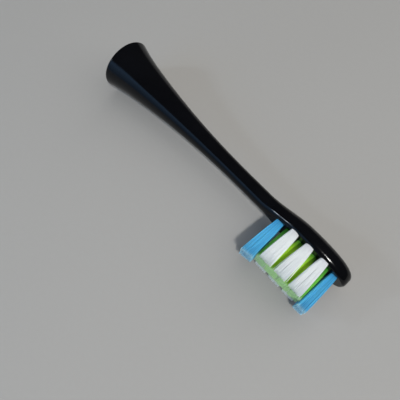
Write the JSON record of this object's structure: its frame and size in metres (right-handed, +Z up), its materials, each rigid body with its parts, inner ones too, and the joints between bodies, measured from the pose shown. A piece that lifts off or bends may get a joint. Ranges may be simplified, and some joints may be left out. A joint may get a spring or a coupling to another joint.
{
  "type": "electric toothbrush head",
  "caption": "Push-on head for a sonic toothbrush: slim black stem with a flared socket and an oval brush plate of blue, white and green bristle tufts. Cleans teeth.",
  "frame": {"origin": "Centre of the bounding box on the surface that the head lies on", "axes": "+X along the head from the socket mouth to the toe, +Z up from the surface, the bristles towards -Y. It lies on its side at rest: on the socket rim, the edge of the plate and the tips of one row of tufts"},
  "size_m": [0.0762, 0.0192, 0.0133],
  "materials": {
    "stem": "gloss",
    "sleeve": "satin",
    "spring_steel": "brushed",
    "anchor_brass": "rolled",
    "blue_nylon": "satin",
    "white_nylon": "satin",
    "green_nylon": "satin"
  },
  "bodies": {
    "root": {"brush_stem": "stem", "shaft_sleeve": "sleeve", "shaft_clip": "spring_steel", "tuft_anchors": "anchor_brass", "heel_tuft_1": "blue_nylon", "heel_tuft_2": "blue_nylon", "toe_tuft_1": "blue_nylon", "toe_tuft_2": "blue_nylon", "white_tuft_1": "white_nylon", "white_tuft_2": "white_nylon", "white_tuft_3": "white_nylon", "white_tuft_4": "white_nylon", "white_tuft_5": "white_nylon", "white_tuft_6": "white_nylon", "green_tuft_1": "green_nylon", "green_tuft_2": "green_nylon", "green_tuft_3": "green_nylon", "green_tuft_4": "green_nylon", "green_tuft_5": "green_nylon", "green_tuft_6": "green_nylon", "green_tuft_7": "green_nylon", "green_tuft_8": "green_nylon"}
  },
  "joints": []
}
